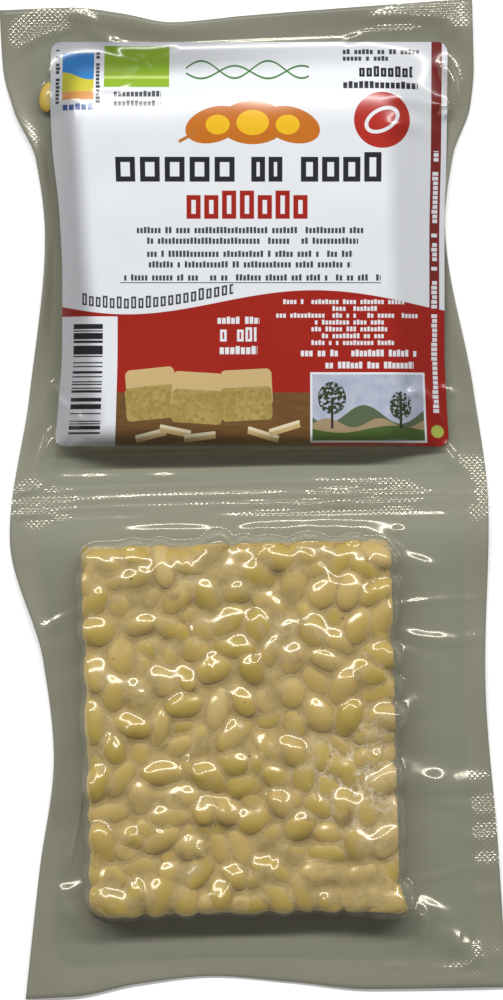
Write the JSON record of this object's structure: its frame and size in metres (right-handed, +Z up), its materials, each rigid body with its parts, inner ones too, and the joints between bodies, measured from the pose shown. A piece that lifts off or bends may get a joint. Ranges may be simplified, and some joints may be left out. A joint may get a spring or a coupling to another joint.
{
  "type": "vacuum packed tempeh cake",
  "caption": "Rectangular soybean tempeh cakes sealed side by side in a clear vacuum pouch with a wavy welded rim and a printed label over one pocket.",
  "frame": {"origin": "bottom centre of the pack, on the welded seam between its two pockets", "axes": "+Z up from the flat back to the bulged front, +Y along the pack towards the labelled pocket, +X across it"},
  "size_m": [0.1384, 0.282, 0.0132],
  "materials": {
    "film": "glossy",
    "label": "glossy",
    "tempeh": "satin"
  },
  "bodies": {
    "root": {"sealed_pack": "film", "label": "label"}
  },
  "joints": []
}
